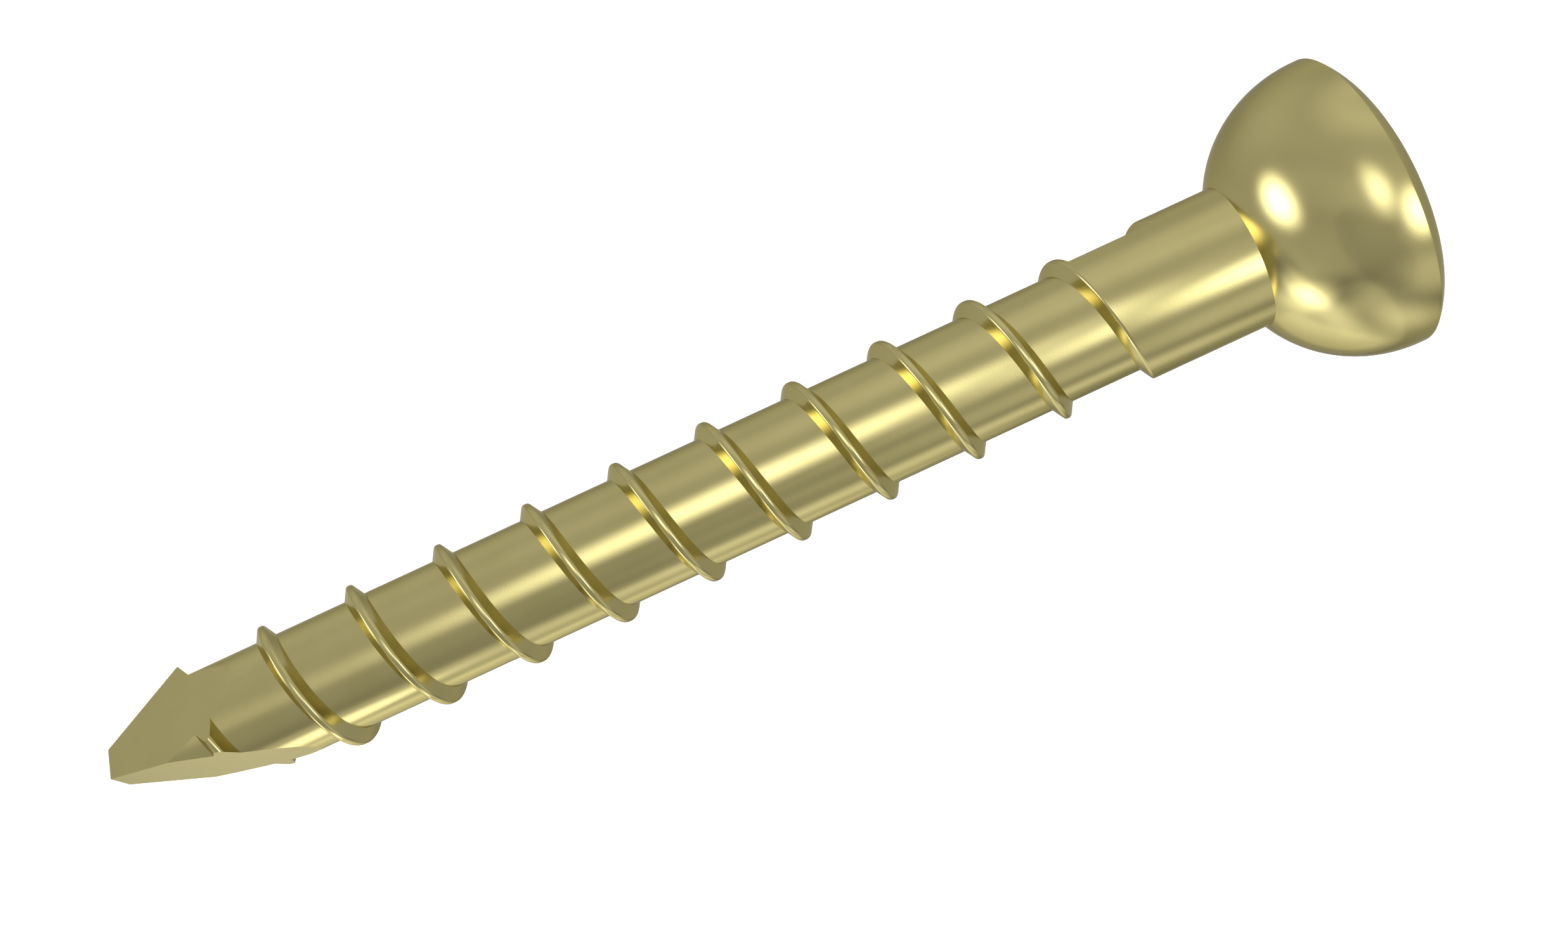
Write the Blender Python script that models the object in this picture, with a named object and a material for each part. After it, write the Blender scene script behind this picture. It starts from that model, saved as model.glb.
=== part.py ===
"""Interlocking bolt for a bone nail: one turned and ground titanium piece, lying at rest.

The bolt is modelled upright in its own frame and then laid down. Its axis is Z, the point is
at the bottom, and height zero is the plane where the straight shank meets the head. Angles
are measured about Z from +X.
"""
from math import atan2, cos, floor, pi, radians, sin, sqrt, tan

import bmesh
import bpy
from mathutils import Matrix, Vector

MM = 0.001

# Whole bolt
TOTAL_LENGTH = 36.0 * MM
SHANK_RADIUS = 1.95 * MM
WELD_DISTANCE = 0.001 * MM

# Head: rounded underside, short straight rim, domed top with a flat ring
HEAD_RADIUS = 4.0 * MM
UNDERSIDE_RADIUS = 3.68 * MM
RIM_HEIGHT = 0.13 * MM
DOME_RADIUS = 2.38 * MM
DOME_HEIGHT = 0.67 * MM
DOME_START = radians(45)

# Drive socket: drilled and countersunk on the lathe, then broached to a hexagon
HEX_ACROSS_FLATS = 3.5 * MM
HEX_DEPTH = 2.4 * MM
BROACH_BITE = 0.1 * MM
CHIP_ROOM = 0.2 * MM
DRILL_POINT_ANGLE = radians(118)
LEAD_IN_MARGIN = 0.13 * MM

# Thread: one helical groove, right-handed, with a square end near the head and another at
# the point, a whole number of turns away
PITCH = 2.5 * MM
CORE_RADIUS = 1.6 * MM
CREST_WIDTH = 0.16 * MM
FLANK_ANGLE = radians(30)
CREST_FILLET = 0.1 * MM
GROOVE_END_ANGLE = radians(-61.6)
GROOVE_END_HEIGHT = -3.07 * MM
THREAD_TURNS = 11

# Three-sided point: each flat has an angle about the axis and a distance from it at the end
FLAT_SLOPE = radians(15)
FLATS = (
    (radians(-43.6), 0.51 * MM),
    (radians(72.3), 0.23 * MM),
    (radians(199.6), 0.20 * MM),
)

# Facets
STEPS_PER_TURN = 48
FILLET_STEPS = 1
UNDERSIDE_STEPS = 9
DOME_STEPS = 4

# Rest: the side, as an angle about the axis, on which the bolt stops rolling
RESTING_SIDE = radians(189)

# What follows from the sizes above
AXIS = Vector((0.0, 0.0, 1.0))
STEP_ANGLE = 2 * pi / STEPS_PER_TURN
RIM_START = sqrt(UNDERSIDE_RADIUS ** 2 - (SHANK_RADIUS - HEAD_RADIUS + UNDERSIDE_RADIUS) ** 2)
HEAD_HEIGHT = RIM_START + RIM_HEIGHT + DOME_HEIGHT
HEX_CORNER_RADIUS = HEX_ACROSS_FLATS / 2 / cos(pi / 6)
PILOT_RADIUS = HEX_ACROSS_FLATS / 2 - BROACH_BITE
PILOT_DEPTH = HEX_DEPTH + CHIP_ROOM
LEAD_IN_RADIUS = HEX_CORNER_RADIUS + LEAD_IN_MARGIN

# The middle of the rim's facet on the resting side faces the floor
FACETS_TO_FLOOR = floor((RESTING_SIDE - GROOVE_END_ANGLE) / STEP_ANGLE) + 0.5
ANGLE_FACING_FLOOR = GROOVE_END_ANGLE + FACETS_TO_FLOOR * STEP_ANGLE


def section_point(radius, height, angle=GROOVE_END_ANGLE):
    """Point of an axial section, in the half-plane at the given angle."""
    return Vector((radius * cos(angle), radius * sin(angle), height))


def arc_points(centre, radius, start, end, steps):
    """Radius and height of the points of an arc, end points included."""
    points = []
    for step in range(steps + 1):
        angle = start + (end - start) * step / steps
        points.append((centre[0] + radius * cos(angle), centre[1] + radius * sin(angle)))
    return points


def add_chain(mesh, points):
    """Open chain of edges through section points, given as radius and height."""
    verts = [mesh.verts.new(section_point(radius, height)) for radius, height in points]
    edges = [mesh.edges.new(pair) for pair in zip(verts, verts[1:])]
    return verts, edges


def groove_section():
    """Half of the groove's section: from the root's corner to the end of the crest fillet.

    Each entry is a radius and a distance from the groove's middle.
    """
    crest_half_gap = (PITCH - CREST_WIDTH) / 2
    depth = SHANK_RADIUS - CORE_RADIUS
    root_half_width = crest_half_gap - depth * tan(FLANK_ANGLE)
    turn = pi / 2 - FLANK_ANGLE
    fillet_reach = CREST_FILLET * tan(turn / 2)
    centre = (SHANK_RADIUS - CREST_FILLET, crest_half_gap + fillet_reach)
    fillet = arc_points(centre, CREST_FILLET, -turn, 0.0, FILLET_STEPS)
    return [(CORE_RADIUS, root_half_width)] + fillet


def thread_surface(mesh):
    """Sweep the groove and the crest beside it towards the point, as one open sheet.

    Returns the heights at which the groove's two edges end near the head.
    """
    half = groove_section()
    rising = [(radius, GROOVE_END_HEIGHT + offset) for radius, offset in half]
    falling = [(radius, GROOVE_END_HEIGHT - offset) for radius, offset in reversed(half)]
    lower_edge = falling[0][1]
    upper_edge = rising[-1][1]
    crest_below = (SHANK_RADIUS, upper_edge - PITCH)
    verts, edges = add_chain(mesh, [crest_below] + falling + rising)
    bmesh.ops.spin(
        mesh, geom=verts + edges, axis=-AXIS, cent=(0, 0, 0), angle=2 * pi * THREAD_TURNS,
        dvec=-AXIS * PITCH / STEPS_PER_TURN, steps=THREAD_TURNS * STEPS_PER_TURN,
    )
    bmesh.ops.remove_doubles(mesh, verts=mesh.verts, dist=WELD_DISTANCE)
    return lower_edge, upper_edge


def pull_end_turn(mesh, turn_start, height):
    """Pull the helical edge of the turn that starts at one height straight to another."""
    turn_end = turn_start + PITCH
    helix = [
        edge for edge in mesh.edges
        if edge.is_boundary
        and all(abs(vert.co.xy.length - SHANK_RADIUS) < WELD_DISTANCE for vert in edge.verts)
        and all(turn_start - WELD_DISTANCE < vert.co.z for vert in edge.verts)
        and all(vert.co.z < turn_end + WELD_DISTANCE for vert in edge.verts)
        and (edge.verts[0].co.xy - edge.verts[1].co.xy).length > WELD_DISTANCE
    ]
    for item in bmesh.ops.extrude_edge_only(mesh, edges=helix)["geom"]:
        if isinstance(item, bmesh.types.BMVert):
            item.co.z = height


def split_seam(mesh, height):
    """Split the shank's seam at a height, so that what meets it there can be welded to it."""
    seam = section_point(SHANK_RADIUS, 0.0).xy
    crossed = [
        edge for edge in mesh.edges
        if all((vert.co.xy - seam).length < WELD_DISTANCE for vert in edge.verts)
        and min(vert.co.z for vert in edge.verts) < height - WELD_DISTANCE
        and max(vert.co.z for vert in edge.verts) > height + WELD_DISTANCE
    ]
    bmesh.ops.bisect_plane(
        mesh, geom=crossed, plane_co=(0, 0, height), plane_no=AXIS, dist=WELD_DISTANCE / 10,
    )


def close_square_end(mesh, lower_edge, upper_edge):
    """Put the flat face across the groove's section where the groove ends."""
    end_plane_normal = section_point(1.0, 0.0, GROOVE_END_ANGLE + pi / 2)
    outline = [
        edge for edge in mesh.edges
        if edge.is_boundary
        and all(abs(vert.co.dot(end_plane_normal)) < WELD_DISTANCE for vert in edge.verts)
        and all(lower_edge - WELD_DISTANCE < vert.co.z for vert in edge.verts)
        and all(vert.co.z < upper_edge + WELD_DISTANCE for vert in edge.verts)
    ]
    bmesh.ops.contextual_create(mesh, geom=outline)


def shank_surface(mesh, lower_edge, upper_edge):
    """Carry the shank on from the thread, up to the head and down past the point."""
    thread_length = THREAD_TURNS * PITCH
    last_turn = upper_edge - PITCH - thread_length
    past_point = min(HEAD_HEIGHT - TOTAL_LENGTH, last_turn) - PITCH
    pull_end_turn(mesh, upper_edge - PITCH, 0.0)
    pull_end_turn(mesh, last_turn, past_point)
    for drop in (0.0, thread_length):
        for height in (upper_edge - PITCH, lower_edge, upper_edge):
            split_seam(mesh, height - drop)
    bmesh.ops.remove_doubles(mesh, verts=mesh.verts, dist=WELD_DISTANCE)
    for drop in (0.0, thread_length):
        close_square_end(mesh, lower_edge - drop, upper_edge - drop)


def head_profile():
    """Radius and height of the head's outline, from the shank to the top's flat ring."""
    ring_centre = HEAD_RADIUS - UNDERSIDE_RADIUS
    start = -atan2(RIM_START, SHANK_RADIUS - ring_centre)
    underside = arc_points((ring_centre, RIM_START), UNDERSIDE_RADIUS, start, 0.0, UNDERSIDE_STEPS)
    rim_end = RIM_START + RIM_HEIGHT
    centre = (
        HEAD_RADIUS - DOME_RADIUS * cos(DOME_START),
        rim_end - DOME_RADIUS * sin(DOME_START),
    )
    rise = HEAD_HEIGHT - centre[1]
    dome_end = atan2(rise, sqrt(DOME_RADIUS ** 2 - rise ** 2))
    dome = arc_points(centre, DOME_RADIUS, DOME_START, dome_end, DOME_STEPS)
    return underside + dome


def bore_profile():
    """Radius and height of the countersink, the pilot hole and its drill point."""
    shoulder = HEAD_HEIGHT - PILOT_DEPTH
    return [
        (LEAD_IN_RADIUS, HEAD_HEIGHT),
        (PILOT_RADIUS, HEAD_HEIGHT - (LEAD_IN_RADIUS - PILOT_RADIUS)),
        (PILOT_RADIUS, shoulder),
        (0.0, shoulder - PILOT_RADIUS / tan(DRILL_POINT_ANGLE / 2)),
    ]


def head_surface(mesh):
    """Turn the outlines of the head and its bore about the axis, and weld them to the shank."""
    verts, edges = add_chain(mesh, head_profile() + bore_profile())
    bmesh.ops.spin(
        mesh, geom=verts + edges, axis=AXIS, cent=(0, 0, 0), angle=2 * pi,
        steps=STEPS_PER_TURN, use_merge=True,
    )
    bmesh.ops.remove_doubles(mesh, verts=mesh.verts, dist=WELD_DISTANCE)


def cut_flat(mesh, point, normal):
    """Cut away what lies outside a plane and close the cut."""
    everything = mesh.verts[:] + mesh.edges[:] + mesh.faces[:]
    cut = bmesh.ops.bisect_plane(
        mesh, geom=everything, plane_co=point, plane_no=normal, clear_outer=True,
        dist=WELD_DISTANCE / 10,
    )["geom_cut"]
    edges = [item for item in cut if isinstance(item, bmesh.types.BMEdge)]
    bmesh.ops.edgenet_fill(mesh, edges=edges)


def point_flats(mesh):
    """Square off the end, then grind the three flats of the point."""
    end = Vector((0.0, 0.0, HEAD_HEIGHT - TOTAL_LENGTH))
    cut_flat(mesh, end, -AXIS)
    for angle, distance in FLATS:
        outward = section_point(1.0, 0.0, angle)
        normal = outward * cos(FLAT_SLOPE) - AXIS * sin(FLAT_SLOPE)
        cut_flat(mesh, end + outward * distance, normal)


def mesh_object(name, mesh):
    """Object from an edit mesh, with its normals outside."""
    bmesh.ops.recalc_face_normals(mesh, faces=mesh.faces)
    data = bpy.data.meshes.new(name)
    mesh.to_mesh(data)
    mesh.free()
    made = bpy.data.objects.new(name, data)
    bpy.context.scene.collection.objects.link(made)
    return made


def broach_cutter():
    """Hexagonal prism that cuts the socket's six flats."""
    mesh = bmesh.new()
    above = LEAD_IN_RADIUS
    middle = HEAD_HEIGHT + (above - HEX_DEPTH) / 2
    bmesh.ops.create_cone(
        mesh, cap_ends=True, segments=6, radius1=HEX_CORNER_RADIUS, radius2=HEX_CORNER_RADIUS,
        depth=HEX_DEPTH + above, matrix=Matrix.Translation((0, 0, middle)),
    )
    return mesh_object("broach", mesh)


def cut_with(target, cutter):
    """Subtract a cutter from the bolt and keep the cutter as a hidden guide."""
    cutter.hide_render = True
    cutter.display_type = "WIRE"
    cutter.parent = target
    cut = target.modifiers.new(cutter.name, "BOOLEAN")
    cut.operation = "DIFFERENCE"
    cut.solver = "EXACT"
    cut.object = cutter


def titanium_material():
    """Gold anodised titanium with a satin finish."""
    material = bpy.data.materials.new("anodised_titanium")
    material.use_nodes = True
    shader = material.node_tree.nodes["Principled BSDF"]
    shader.inputs["Base Color"].default_value = (0.60, 0.53, 0.235, 1.0)
    shader.inputs["Metallic"].default_value = 1.0
    shader.inputs["Roughness"].default_value = 0.22
    return material


def resting_incline(points):
    """Angle by which the axis rises towards the head when the bolt lies on a floor.

    Points are positions along the axis and depths below it. The floor line touches the head
    on one side of the bolt's middle and a thread crest on the other.
    """
    along = [position for position, _ in points]
    middle = (min(along) + max(along)) / 2
    hull = []
    for point in sorted(points):
        while len(hull) > 1 and turns_inward(hull[-2], hull[-1], point):
            hull.pop()
        hull.append(point)
    for low, high in zip(hull, hull[1:]):
        if low[0] <= middle <= high[0]:
            return atan2(high[1] - low[1], high[0] - low[0])
    return 0.0


def turns_inward(first, second, third):
    """True when the second point isn't on the deep side of the line past it."""
    rise = (second[1] - first[1]) * (third[0] - first[0])
    run = (third[1] - first[1]) * (second[0] - first[0])
    return rise <= run


def lay_down(bolt):
    """Turn the bolt to its resting pose, with its middle over the origin and its foot at zero."""
    down = section_point(1.0, 0.0, ANGLE_FACING_FLOOR)
    points = [(vert.co.z, vert.co.dot(down)) for vert in bolt.data.vertices]
    incline = resting_incline(points)
    turn = Matrix.Rotation(pi - ANGLE_FACING_FLOOR, 4, "Z")
    lay = Matrix.Rotation(pi / 2 - incline, 4, "Y") @ Matrix.Rotation(pi, 4, "Z")
    rotation = lay @ turn
    corners = [rotation @ vert.co for vert in bolt.data.vertices]
    low = Vector([min(corner[axis] for corner in corners) for axis in range(3)])
    high = Vector([max(corner[axis] for corner in corners) for axis in range(3)])
    shift = Vector((-(low.x + high.x) / 2, -(low.y + high.y) / 2, -low.z))
    bolt.location = shift
    bolt.rotation_euler = rotation.to_euler()


def build():
    """Make the bolt, cut its socket and lay it down."""
    for leftover in list(bpy.data.objects):
        bpy.data.objects.remove(leftover)
    mesh = bmesh.new()
    lower_edge, upper_edge = thread_surface(mesh)
    shank_surface(mesh, lower_edge, upper_edge)
    head_surface(mesh)
    point_flats(mesh)
    bolt = mesh_object("interlocking_bolt", mesh)
    bolt.data.shade_smooth()
    bolt.data.set_sharp_from_angle(angle=radians(20))
    bolt.data.materials.append(titanium_material())
    cut_with(bolt, broach_cutter())
    lay_down(bolt)


build()
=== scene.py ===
from math import atan2, cos, pi, radians, sin, sqrt, tan

import bmesh
import bpy
from mathutils import Matrix, Vector


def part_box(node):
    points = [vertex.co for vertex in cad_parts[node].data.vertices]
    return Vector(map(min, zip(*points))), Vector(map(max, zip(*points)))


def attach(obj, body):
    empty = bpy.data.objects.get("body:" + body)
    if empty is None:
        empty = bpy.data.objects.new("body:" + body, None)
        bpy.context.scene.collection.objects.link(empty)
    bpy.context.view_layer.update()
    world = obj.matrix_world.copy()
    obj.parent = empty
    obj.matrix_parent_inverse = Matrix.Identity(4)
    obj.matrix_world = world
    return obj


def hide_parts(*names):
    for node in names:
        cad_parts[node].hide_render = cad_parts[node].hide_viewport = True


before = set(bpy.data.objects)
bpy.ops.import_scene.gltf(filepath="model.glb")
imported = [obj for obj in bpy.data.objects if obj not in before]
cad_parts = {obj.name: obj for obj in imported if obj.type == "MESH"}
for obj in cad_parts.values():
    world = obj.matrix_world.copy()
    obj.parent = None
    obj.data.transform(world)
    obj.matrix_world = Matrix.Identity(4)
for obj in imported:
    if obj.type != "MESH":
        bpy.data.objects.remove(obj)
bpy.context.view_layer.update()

MM = 0.001
AXIS = Vector((0.0, 0.0, 1.0))

# The bolt is turned in its own frame: Z runs from the point to the head, height zero is the
# plane where the straight shank meets the head, and angles are measured about Z from +X.
TOTAL_LENGTH = 36.0 * MM
SHANK_RADIUS = 1.95 * MM

# Head
HEAD_RADIUS = 4.0 * MM
UNDERSIDE_RADIUS = 3.68 * MM
RIM_HEIGHT = 0.13 * MM
RIM_EDGE_RADIUS = 0.02 * MM
DOME_RADIUS = 2.38 * MM
DOME_HEIGHT = 0.67 * MM
DOME_START = radians(45)
RIM_START = sqrt(UNDERSIDE_RADIUS ** 2 - (SHANK_RADIUS - HEAD_RADIUS + UNDERSIDE_RADIUS) ** 2)
HEAD_HEIGHT = RIM_START + RIM_HEIGHT + DOME_HEIGHT

# Drive socket
HEX_ACROSS_FLATS = 3.5 * MM
HEX_DEPTH = 2.4 * MM
BROACH_BITE = 0.1 * MM
CHIP_ROOM = 0.2 * MM
DRILL_POINT_ANGLE = radians(118)
LEAD_IN_MARGIN = 0.13 * MM
HEX_CORNER_RADIUS = HEX_ACROSS_FLATS / 2 / cos(pi / 6)
PILOT_RADIUS = HEX_ACROSS_FLATS / 2 - BROACH_BITE
PILOT_DEPTH = HEX_DEPTH + CHIP_ROOM
LEAD_IN_RADIUS = HEX_CORNER_RADIUS + LEAD_IN_MARGIN

# Thread
PITCH = 2.5 * MM
CORE_RADIUS = 1.6 * MM
CREST_WIDTH = 0.16 * MM
FLANK_ANGLE = radians(30)
CREST_FILLET = 0.1 * MM
GROOVE_END_ANGLE = radians(-61.6)
GROOVE_END_HEIGHT = -3.07 * MM
THREAD_TURNS = 11

# Three flats of the point: angle about the axis, and distance from it at the end
FLAT_SLOPE = radians(15)
FLATS = (
    (radians(-43.6), 0.51 * MM),
    (radians(72.3), 0.23 * MM),
    (radians(199.6), 0.20 * MM),
)

# Fineness of the turned surfaces. Rings at the support gap beside both edges of the groove's
# flanks keep the shading crisp.
STEPS_PER_TURN = 192
FILLET_STEPS = 6
UNDERSIDE_STEPS = 44
DOME_STEPS = 14
EDGE_STEPS = 3
HEAD_SECTORS = 6
SUPPORT_GAP = 0.012 * MM
WELD_DISTANCE = 0.0002 * MM
CUT_TOLERANCE = WELD_DISTANCE / 10
SHARP_ANGLE = radians(16)

# How the bolt lies: the side that faces the floor, and the rise of its axis to the head
ANGLE_FACING_FLOOR = radians(189.65)
INCLINE = radians(4.1259)

# Satin gold finish. The gold varies gently between two tones, each at its own value of a noise.
# The blasted grain is finer than the eye sees: a spread in the roughness and a slight bump.
GOLD_TONES = ((0.35, (0.590, 0.520, 0.226, 1.0)), (0.65, (0.612, 0.540, 0.240, 1.0)))
GOLD_AT_GRAZING_ANGLES = (0.84, 0.80, 0.60, 1.0)
TONE_SCALE = 700.0
GRAIN_SCALE = 26000.0
NOISE_DETAIL = 2.0
SMOOTHEST = 0.15
ROUGHEST = 0.19
GRAIN_BUMP = 0.12
GRAIN_DEPTH = 0.004 * MM

# Floor, just under the bolt, and bright enough to burn out to white
FLOOR_HALF_WIDTH = 4.0
FLOOR_GAP = 0.02 * MM
FLOOR_COLOUR = (0.9, 0.9, 0.9, 1.0)
FLOOR_ROUGHNESS = 0.9
FLOOR_GLOW = 0.8
WHITE = (1.0, 1.0, 1.0, 1.0)

# Camera, in the bolt's own frame
CAMERA_PLACE = Vector((49.071, 0.0, -13.648)) * MM
CAMERA_RIGHT = Vector((0.011686, 0.420012, 0.907443))
CAMERA_FORWARD = Vector((-0.999925, 0.001611, 0.012131))
FIELD_OF_VIEW = radians(45)
CLIP_NEAR = 1.0 * MM
CLIP_FAR = 100.0

# Studio light, in the bolt's own frame: a grey room that is brighter on one side and never quite
# dark, two broad bands, and soft oval lamps. A band has a line, and the light that it adds towards
# both ends of it. A lamp has its angle about the axis, its angle towards the head, its two angular
# radii, its roll, the softness of its edge and its strength. Where a strength is negative, the
# band or lamp is a dark screen.
ROOM_DARKEST = 0.02
ROOM_LEVEL = 0.425
ROOM_SLOPE = Vector((0.013, 0.259, -0.009))
ROOM_BANDS = (
    (Vector((0.020, 0.990, 0.142)), -0.296),
    (Vector((0.736, -0.111, 0.668)), 0.185),
)
LAMPS = (
    (24.5, 22.4, 12.2, 8.9, 10.3, 1.00, 4.14),
    (0.1, 0.1, 14.5, 6.7, 6.3, 1.00, 2.39),
    (-60.5, -66.0, 13.2, 8.4, -22.5, 1.00, 5.09),
    (110.4, -50.4, 7.1, 16.4, 88.3, 1.00, 1.71),
    (118.0, -19.8, 45.6, 24.7, 17.3, 0.03, 0.22),
    (40.5, -16.1, 37.3, 18.3, 29.6, 0.11, -0.10),
    (106.6, 6.3, 18.1, 8.4, 46.8, 1.00, 0.84),
    (138.4, -17.7, 17.6, 21.8, 20.1, 0.17, 0.36),
    (98.1, -50.2, 25.3, 9.8, -30.3, 1.00, -0.67),
    (109.4, 7.4, 10.9, 27.6, -17.6, 1.00, -0.31),
    (-65.3, 26.0, 23.8, 27.3, -9.9, 0.52, 0.40),
    (-114.2, 21.4, 27.8, 40.2, 6.9, 0.68, 0.44),
    (72.9, 19.4, 11.7, 21.1, -39.7, 0.67, 0.34),
    (119.8, -70.4, 10.6, 7.5, -47.1, 1.00, -2.48),
    (107.5, -32.3, 7.0, 21.5, -28.3, 1.00, 0.49),
    (151.7, -8.4, 16.6, 19.0, 7.2, 1.00, -0.47),
    (-21.1, -34.7, 38.4, 13.0, 43.1, 0.58, 0.11),
    (-76.8, -20.2, 39.9, 28.9, 23.6, 1.00, 0.60),
    (13.9, 2.8, 11.1, 6.6, -4.6, 1.00, -0.57),
    (110.6, -62.1, 8.2, 17.2, 19.5, 0.71, 2.49),
)

# Narrow lamp beside the point: its place, the spot on the bolt that it is turned to, its width
# and height, the cone that it lights, and its power in watts
POINT_LAMP_PLACE = Vector((-4.4, 58.9, -42.7)) * MM
POINT_LAMP_TARGET = Vector((1.1, 1.2, -26.8)) * MM
POINT_LAMP_WIDTH = 28.0 * MM
POINT_LAMP_HEIGHT = 14.0 * MM
POINT_LAMP_SPREAD = radians(40)
POINT_LAMP_POWER = 0.000075


def section_point(radius, height, angle=GROOVE_END_ANGLE):
    """Point of an axial section, in the half-plane at the given angle."""
    return Vector((radius * cos(angle), radius * sin(angle), height))


def arc_points(centre, radius, start, end, steps):
    """Radius and height of the points of an arc, end points included."""
    points = []
    for step in range(steps + 1):
        angle = start + (end - start) * step / steps
        points.append((centre[0] + radius * cos(angle), centre[1] + radius * sin(angle)))
    return points


def add_chain(mesh, points):
    """Open chain of edges through section points, given as radius and height."""
    verts = [mesh.verts.new(section_point(radius, height)) for radius, height in points]
    edges = [mesh.edges.new(pair) for pair in zip(verts, verts[1:])]
    return verts, edges


def towards(first, second, distance):
    """Point at a short distance from the first section point towards the second."""
    start, end = Vector(first), Vector(second)
    return tuple(start + (end - start).normalized() * distance)


def repeat(mesh, count, step):
    """Copy the whole sheet, each copy one step on from the last, and weld the seams."""
    latest = mesh.verts[:] + mesh.edges[:] + mesh.faces[:]
    for _ in range(count - 1):
        latest = bmesh.ops.duplicate(mesh, geom=latest)["geom"]
        verts = [item for item in latest if isinstance(item, bmesh.types.BMVert)]
        bmesh.ops.transform(mesh, matrix=step, verts=verts)
    bmesh.ops.remove_doubles(mesh, verts=mesh.verts, dist=WELD_DISTANCE)


def groove_section():
    """Half of the groove's section, as radii and distances from the groove's middle."""
    crest_half_gap = (PITCH - CREST_WIDTH) / 2
    depth = SHANK_RADIUS - CORE_RADIUS
    root = (CORE_RADIUS, crest_half_gap - depth * tan(FLANK_ANGLE))
    turn = pi / 2 - FLANK_ANGLE
    centre = (SHANK_RADIUS - CREST_FILLET, crest_half_gap + CREST_FILLET * tan(turn / 2))
    fillet = arc_points(centre, CREST_FILLET, -turn, 0.0, FILLET_STEPS)
    middle = (CORE_RADIUS, 0.0)
    return [
        towards(root, middle, SUPPORT_GAP), root, towards(root, fillet[0], SUPPORT_GAP),
        towards(fillet[0], root, SUPPORT_GAP),
    ] + fillet


def thread_surface(mesh):
    """Sweep the groove and the crest beside it towards the point, as one open sheet.

    Returns the heights at which the groove's two edges end near the head.
    """
    half = groove_section()
    rising = [(radius, GROOVE_END_HEIGHT + offset) for radius, offset in half]
    falling = [(radius, GROOVE_END_HEIGHT - offset) for radius, offset in reversed(half)]
    lower_edge = falling[0][1]
    upper_edge = rising[-1][1]
    crest_below = (SHANK_RADIUS, upper_edge - PITCH)
    verts, edges = add_chain(mesh, [crest_below] + falling + rising)
    bmesh.ops.spin(
        mesh, geom=verts + edges, axis=-AXIS, cent=(0, 0, 0), angle=2 * pi,
        dvec=-AXIS * PITCH / STEPS_PER_TURN, steps=STEPS_PER_TURN,
    )
    repeat(mesh, THREAD_TURNS, Matrix.Translation(-AXIS * PITCH))
    return lower_edge, upper_edge


def pull_end_turn(mesh, turn_start, height):
    """Pull the helical edge of the turn that starts at one height straight to another."""
    turn_end = turn_start + PITCH
    helix = [
        edge for edge in mesh.edges
        if edge.is_boundary
        and all(abs(vert.co.xy.length - SHANK_RADIUS) < WELD_DISTANCE for vert in edge.verts)
        and all(turn_start - WELD_DISTANCE < vert.co.z for vert in edge.verts)
        and all(vert.co.z < turn_end + WELD_DISTANCE for vert in edge.verts)
        and (edge.verts[0].co.xy - edge.verts[1].co.xy).length > WELD_DISTANCE
    ]
    for item in bmesh.ops.extrude_edge_only(mesh, edges=helix)["geom"]:
        if isinstance(item, bmesh.types.BMVert):
            item.co.z = height


def split_seam(mesh, height):
    """Split the shank's seam at a height, so that what meets it there can be welded to it."""
    seam = section_point(SHANK_RADIUS, 0.0).xy
    crossed = [
        edge for edge in mesh.edges
        if all((vert.co.xy - seam).length < WELD_DISTANCE for vert in edge.verts)
        and min(vert.co.z for vert in edge.verts) < height - WELD_DISTANCE
        and max(vert.co.z for vert in edge.verts) > height + WELD_DISTANCE
    ]
    bmesh.ops.bisect_plane(
        mesh, geom=crossed, plane_co=(0, 0, height), plane_no=AXIS, dist=CUT_TOLERANCE,
    )


def close_square_end(mesh, lower_edge, upper_edge):
    """Put the flat face across the groove's section where the groove ends."""
    end_plane_normal = section_point(1.0, 0.0, GROOVE_END_ANGLE + pi / 2)
    outline = [
        edge for edge in mesh.edges
        if edge.is_boundary
        and all(abs(vert.co.dot(end_plane_normal)) < WELD_DISTANCE for vert in edge.verts)
        and all(lower_edge - WELD_DISTANCE < vert.co.z for vert in edge.verts)
        and all(vert.co.z < upper_edge + WELD_DISTANCE for vert in edge.verts)
    ]
    bmesh.ops.contextual_create(mesh, geom=outline)


def shank_surface(mesh, lower_edge, upper_edge):
    """Carry the shank on from the thread, up to the head and down past the point."""
    thread_length = THREAD_TURNS * PITCH
    last_turn = upper_edge - PITCH - thread_length
    past_point = min(HEAD_HEIGHT - TOTAL_LENGTH, last_turn) - PITCH
    pull_end_turn(mesh, upper_edge - PITCH, 0.0)
    pull_end_turn(mesh, last_turn, past_point)
    for drop in (0.0, thread_length):
        for height in (upper_edge - PITCH, lower_edge, upper_edge):
            split_seam(mesh, height - drop)
    bmesh.ops.remove_doubles(mesh, verts=mesh.verts, dist=WELD_DISTANCE)
    for drop in (0.0, thread_length):
        close_square_end(mesh, lower_edge - drop, upper_edge - drop)


def head_profile():
    """Radius and height of the head's outline, from the shank to the top's flat ring."""
    ring_centre = HEAD_RADIUS - UNDERSIDE_RADIUS
    start = -atan2(RIM_START, SHANK_RADIUS - ring_centre)
    underside = arc_points((ring_centre, RIM_START), UNDERSIDE_RADIUS, start, 0.0, UNDERSIDE_STEPS)
    rim_end = RIM_START + RIM_HEIGHT
    centre = (
        HEAD_RADIUS - DOME_RADIUS * cos(DOME_START),
        rim_end - DOME_RADIUS * sin(DOME_START),
    )
    rise = HEAD_HEIGHT - centre[1]
    dome_end = atan2(rise, sqrt(DOME_RADIUS ** 2 - rise ** 2))
    dome = arc_points(centre, DOME_RADIUS, DOME_START, dome_end, DOME_STEPS)
    return underside + rim_edge(rim_end) + dome[1:]


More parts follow.
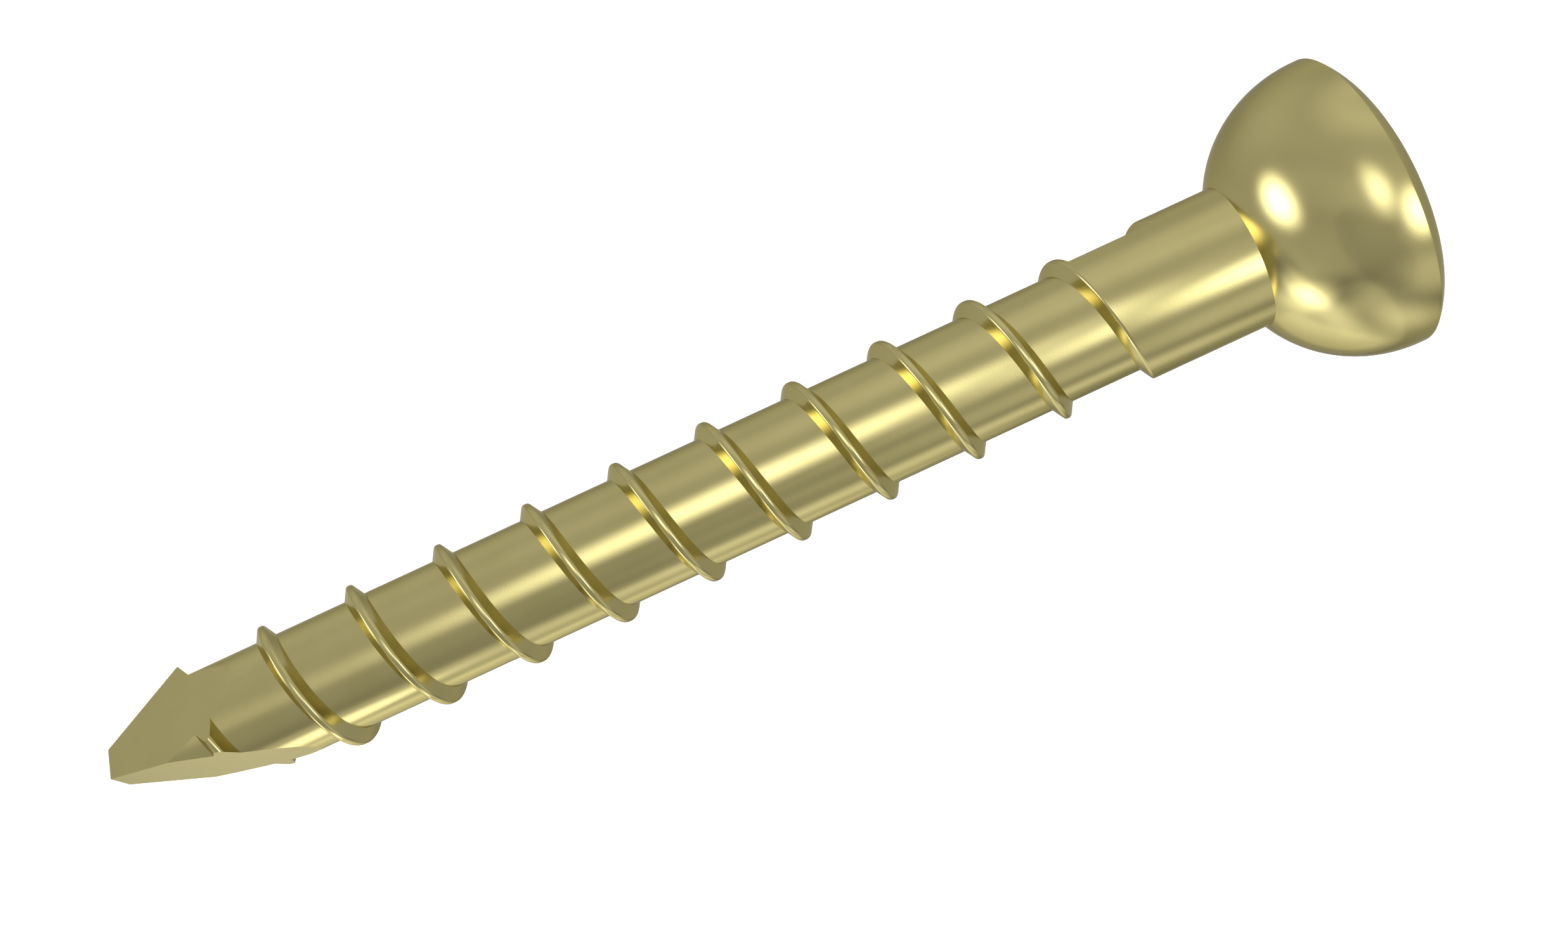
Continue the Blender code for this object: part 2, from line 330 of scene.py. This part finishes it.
def rim_edge(rim_end):
    """The rim's top edge, broken by a small radius that leads into the dome."""
    turn = pi / 2 - DOME_START
    reach = RIM_EDGE_RADIUS * tan(turn / 2)
    centre = (HEAD_RADIUS - RIM_EDGE_RADIUS, rim_end - reach)
    return arc_points(centre, RIM_EDGE_RADIUS, 0.0, turn, EDGE_STEPS)


def bore_profile():
    """Radius and height of the countersink, the pilot hole and its drill point."""
    shoulder = HEAD_HEIGHT - PILOT_DEPTH
    return [
        (LEAD_IN_RADIUS, HEAD_HEIGHT),
        (PILOT_RADIUS, HEAD_HEIGHT - (LEAD_IN_RADIUS - PILOT_RADIUS)),
        (PILOT_RADIUS, shoulder),
        (0.0, shoulder - PILOT_RADIUS / tan(DRILL_POINT_ANGLE / 2)),
    ]


def head_surface(mesh):
    """Turn the outlines of the head and its bore about the axis, and weld them to the shank."""
    head = bmesh.new()
    verts, edges = add_chain(head, head_profile() + bore_profile())
    bmesh.ops.spin(
        head, geom=verts + edges, axis=AXIS, cent=(0, 0, 0), angle=2 * pi / HEAD_SECTORS,
        steps=STEPS_PER_TURN // HEAD_SECTORS,
    )
    repeat(head, HEAD_SECTORS, Matrix.Rotation(2 * pi / HEAD_SECTORS, 4, "Z"))
    turned = bpy.data.meshes.new("head")
    head.to_mesh(turned)
    head.free()
    mesh.from_mesh(turned)
    bpy.data.meshes.remove(turned)
    bmesh.ops.remove_doubles(mesh, verts=mesh.verts, dist=WELD_DISTANCE)


def cut_flat(mesh, point, normal, run_out):
    """Cut away what lies outside a plane and close the cut. Faces above its run-out stay."""
    faces = [face for face in mesh.faces if min(vert.co.z for vert in face.verts) < run_out]
    edges = dict.fromkeys(edge for face in faces for edge in face.edges)
    verts = dict.fromkeys(vert for face in faces for vert in face.verts)
    cut = bmesh.ops.bisect_plane(
        mesh, geom=[*verts, *edges, *faces], plane_co=point, plane_no=normal,
        clear_outer=True, dist=CUT_TOLERANCE,
    )["geom_cut"]
    edges = [item for item in cut if isinstance(item, bmesh.types.BMEdge)]
    bmesh.ops.edgenet_fill(mesh, edges=edges)


def point_flats(mesh):
    """Square off the end, then grind the three flats of the point, which run out of the core."""
    end = Vector((0.0, 0.0, HEAD_HEIGHT - TOTAL_LENGTH))
    cut_flat(mesh, end, -AXIS, end.z)
    for angle, distance in FLATS:
        outward = section_point(1.0, 0.0, angle)
        normal = outward * cos(FLAT_SLOPE) - AXIS * sin(FLAT_SLOPE)
        run_out = end.z + (CORE_RADIUS - distance) / tan(FLAT_SLOPE)
        cut_flat(mesh, end + outward * distance, normal, run_out)


def mesh_object(name, mesh):
    """Object from an edit mesh, with its normals outside."""
    bmesh.ops.recalc_face_normals(mesh, faces=mesh.faces)
    data = bpy.data.meshes.new(name)
    mesh.to_mesh(data)
    mesh.free()
    made = bpy.data.objects.new(name, data)
    bpy.context.scene.collection.objects.link(made)
    return made


def broach_socket(bolt):
    """Cut the six flats of the drive socket, with a broach that starts well above the head."""
    mesh = bmesh.new()
    above = LEAD_IN_RADIUS
    middle = HEAD_HEIGHT + (above - HEX_DEPTH) / 2
    bmesh.ops.create_cone(
        mesh, cap_ends=True, segments=6, radius1=HEX_CORNER_RADIUS, radius2=HEX_CORNER_RADIUS,
        depth=HEX_DEPTH + above, matrix=Matrix.Translation((0, 0, middle)),
    )
    broach = mesh_object("broach", mesh)
    cut = bolt.modifiers.new("broach", "BOOLEAN")
    cut.operation = "DIFFERENCE"
    cut.solver = "EXACT"
    cut.object = broach
    graph = bpy.context.evaluated_depsgraph_get()
    bolt.data = bpy.data.meshes.new_from_object(bolt.evaluated_get(graph))
    bolt.modifiers.clear()
    bpy.data.objects.remove(broach)


def resting_place(bolt):
    """Turn that lays the bolt down, and the shift that brings it onto the solid's place."""
    turn = Matrix.Rotation(pi - ANGLE_FACING_FLOOR, 4, "Z")
    lay = Matrix.Rotation(pi / 2 - INCLINE, 4, "Y") @ Matrix.Rotation(pi, 4, "Z")
    rotation = lay @ turn
    places = [rotation @ vert.co for vert in bolt.data.vertices]
    low = Vector([min(place[axis] for place in places) for axis in range(3)])
    high = Vector([max(place[axis] for place in places) for axis in range(3)])
    solid_low, solid_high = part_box("interlocking_bolt")
    shift = (Vector(solid_low) + Vector(solid_high) - low - high) / 2
    shift.z = solid_low[2] - low.z
    return Matrix.Translation(shift) @ rotation


def turned_bolt():
    """The whole bolt as one closed mesh, in its own frame."""
    mesh = bmesh.new()
    lower_edge, upper_edge = thread_surface(mesh)
    shank_surface(mesh, lower_edge, upper_edge)
    head_surface(mesh)
    point_flats(mesh)
    bolt = mesh_object("bolt_surface", mesh)
    broach_socket(bolt)
    bolt.data.shade_smooth()
    bolt.data.set_sharp_from_angle(angle=SHARP_ANGLE)
    return bolt


def anodised_titanium():
    """Satin gold anodised titanium with a fine blasted grain."""
    material = bpy.data.materials.new("anodised_titanium")
    material.use_nodes = True
    nodes = material.node_tree.nodes
    links = material.node_tree.links
    shader = nodes["Principled BSDF"]
    shader.inputs["Metallic"].default_value = 1.0
    shader.inputs["Specular Tint"].default_value = GOLD_AT_GRAZING_ANGLES
    place = nodes.new("ShaderNodeTexCoord")

    tone = nodes.new("ShaderNodeTexNoise")
    tone.inputs["Scale"].default_value = TONE_SCALE
    tone.inputs["Detail"].default_value = NOISE_DETAIL
    links.new(place.outputs["Object"], tone.inputs["Vector"])
    colours = nodes.new("ShaderNodeValToRGB")
    for stop, (position, gold) in zip(colours.color_ramp.elements, GOLD_TONES):
        stop.position = position
        stop.color = gold
    links.new(tone.outputs["Fac"], colours.inputs["Fac"])
    links.new(colours.outputs["Color"], shader.inputs["Base Color"])

    grain = nodes.new("ShaderNodeTexNoise")
    grain.inputs["Scale"].default_value = GRAIN_SCALE
    grain.inputs["Detail"].default_value = NOISE_DETAIL
    links.new(place.outputs["Object"], grain.inputs["Vector"])
    satin = nodes.new("ShaderNodeMapRange")
    satin.inputs["To Min"].default_value = SMOOTHEST
    satin.inputs["To Max"].default_value = ROUGHEST
    links.new(grain.outputs["Fac"], satin.inputs["Value"])
    links.new(satin.outputs["Result"], shader.inputs["Roughness"])
    bump = nodes.new("ShaderNodeBump")
    bump.inputs["Strength"].default_value = GRAIN_BUMP
    bump.inputs["Distance"].default_value = GRAIN_DEPTH
    links.new(grain.outputs["Fac"], bump.inputs["Height"])
    links.new(bump.outputs["Normal"], shader.inputs["Normal"])
    return material


def overexposed_floor():
    """Pale floor that burns out to white, and that the metal neither reflects nor is lit by."""
    mesh = bmesh.new()
    bmesh.ops.create_grid(mesh, x_segments=1, y_segments=1, size=FLOOR_HALF_WIDTH)
    floor = mesh_object("pale_floor", mesh)
    floor.location.z = -FLOOR_GAP
    material = bpy.data.materials.new("pale_floor")
    material.use_nodes = True
    shader = material.node_tree.nodes["Principled BSDF"]
    shader.inputs["Base Color"].default_value = FLOOR_COLOUR
    shader.inputs["Roughness"].default_value = FLOOR_ROUGHNESS
    shader.inputs["Specular IOR Level"].default_value = 0.0
    shader.inputs["Emission Color"].default_value = WHITE
    shader.inputs["Emission Strength"].default_value = FLOOR_GLOW
    floor.data.materials.append(material)
    floor.visible_glossy = False
    floor.visible_diffuse = False
    floor.visible_shadow = False
    return floor


def lamp_axes(about_axis, towards_head, roll):
    """Turn whose columns are a lamp's two radii and its direction, in the bolt's own frame."""
    direction = section_point(cos(towards_head), sin(towards_head), about_axis)
    beside = section_point(1.0, 0.0, about_axis + pi / 2)
    above = direction.cross(beside)
    across = cos(roll) * beside + sin(roll) * above
    along = cos(roll) * above - sin(roll) * beside
    return Matrix((across, along, direction)).transposed()


class LightNodes:
    """Helper that adds light to the world's node tree, direction by direction."""

    def __init__(self, tree):
        self.tree = tree
        self.direction = tree.nodes.new("ShaderNodeTexCoord").outputs["Generated"]

    def feed(self, socket, value):
        """Link a socket to another one, or set it to a plain value."""
        if isinstance(value, bpy.types.NodeSocket):
            self.tree.links.new(value, socket)
        else:
            socket.default_value = value

    def math(self, operation, *inputs):
        """Sum, product or limit of sockets and plain values."""
        node = self.tree.nodes.new("ShaderNodeMath")
        node.operation = operation
        for socket, value in zip(node.inputs, inputs):
            self.feed(socket, value)
        return node.outputs["Value"]

    def along(self, vector):
        """How far the direction runs along a vector."""
        node = self.tree.nodes.new("ShaderNodeVectorMath")
        node.operation = "DOT_PRODUCT"
        self.feed(node.inputs[0], self.direction)
        node.inputs[1].default_value = vector
        return node.outputs["Value"]

    def lamp(self, axes, radii, softness, strength):
        """Oval patch of light: the direction is measured in the lamp's own radii."""
        place = self.tree.nodes.new("ShaderNodeMapping")
        place.vector_type = "TEXTURE"
        place.inputs["Location"].default_value = axes.col[2]
        place.inputs["Rotation"].default_value = axes.to_euler()
        place.inputs["Scale"].default_value = (*radii, 1.0)
        self.feed(place.inputs["Vector"], self.direction)
        distance = self.tree.nodes.new("ShaderNodeVectorMath")
        distance.operation = "LENGTH"
        self.feed(distance.inputs[0], place.outputs["Vector"])
        edge = self.tree.nodes.new("ShaderNodeMapRange")
        edge.interpolation_type = "SMOOTHSTEP"
        self.feed(edge.inputs["Value"], distance.outputs["Value"])
        edge.inputs["From Min"].default_value = 1.0 + softness
        edge.inputs["From Max"].default_value = 1.0 - softness
        return self.math("MULTIPLY", edge.outputs["Result"], strength)


def studio_light(placement):
    """Grey room with soft lamps for the metal, and plain white for the camera."""
    world = bpy.data.worlds.new("studio")
    bpy.context.scene.world = world
    world.use_nodes = True
    tree = world.node_tree
    nodes = LightNodes(tree)
    turn = placement.to_3x3()

    level = nodes.math("ADD", nodes.along(turn @ ROOM_SLOPE), ROOM_LEVEL)
    for direction, strength in ROOM_BANDS:
        across = nodes.along(turn @ direction)
        square = nodes.math("MULTIPLY", across, across)
        level = nodes.math("MULTIPLY_ADD", square, strength, level)
    for about_axis, towards_head, *radii, roll, softness, strength in LAMPS:
        axes = turn @ lamp_axes(radians(about_axis), radians(towards_head), radians(roll))
        radii = [radians(radius) for radius in radii]
        level = nodes.math("ADD", level, nodes.lamp(axes, radii, softness, strength))

    room = tree.nodes["Background"]
    tree.links.new(nodes.math("MAXIMUM", level, ROOM_DARKEST), room.inputs["Strength"])
    room.inputs["Color"].default_value = WHITE
    seen = tree.nodes.new("ShaderNodeBackground")
    seen.inputs["Color"].default_value = WHITE
    path = tree.nodes.new("ShaderNodeLightPath")
    choice = tree.nodes.new("ShaderNodeMixShader")
    tree.links.new(path.outputs["Is Camera Ray"], choice.inputs["Fac"])
    tree.links.new(room.outputs["Background"], choice.inputs[1])
    tree.links.new(seen.outputs["Background"], choice.inputs[2])
    tree.links.new(choice.outputs["Shader"], tree.nodes["World Output"].inputs["Surface"])


def turned_to(place, right, back):
    """Place and turn of what looks along the opposite of back, in the bolt's own frame."""
    back = back.normalized()
    right = (right - back * right.dot(back)).normalized()
    turn = Matrix((right, back.cross(right), back)).transposed().to_4x4()
    return Matrix.Translation(place) @ turn


def point_lamp(placement):
    """Narrow lamp that lights the point and leaves the head alone."""
    data = bpy.data.lights.new("point_lamp", "AREA")
    data.shape = "ELLIPSE"
    data.size = POINT_LAMP_WIDTH
    data.size_y = POINT_LAMP_HEIGHT
    data.spread = POINT_LAMP_SPREAD
    data.energy = POINT_LAMP_POWER
    lamp = bpy.data.objects.new("point_lamp", data)
    bpy.context.scene.collection.objects.link(lamp)
    lamp.visible_camera = False
    back = POINT_LAMP_PLACE - POINT_LAMP_TARGET
    lamp.matrix_world = placement @ turned_to(POINT_LAMP_PLACE, AXIS.cross(back), back)


def studio_camera(placement):
    """Camera close to the bolt, level with the middle of its thread."""
    data = bpy.data.cameras.new("camera")
    data.angle = FIELD_OF_VIEW
    data.clip_start = CLIP_NEAR
    data.clip_end = CLIP_FAR
    camera = bpy.data.objects.new("camera", data)
    bpy.context.scene.collection.objects.link(camera)
    camera.matrix_world = placement @ turned_to(CAMERA_PLACE, CAMERA_RIGHT, -CAMERA_FORWARD)
    bpy.context.scene.camera = camera


def dress_bolt():
    """Fine surface that stands for the solid, with its finish. Returns its placement."""
    bolt = turned_bolt()
    placement = resting_place(bolt)
    bolt.data.transform(placement)
    bolt.data.materials.append(anodised_titanium())
    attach(bolt, "root")
    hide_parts("interlocking_bolt")
    return placement


bpy.context.scene.view_settings.view_transform = "Standard"
placement = dress_bolt()
overexposed_floor()
studio_light(placement)
point_lamp(placement)
studio_camera(placement)
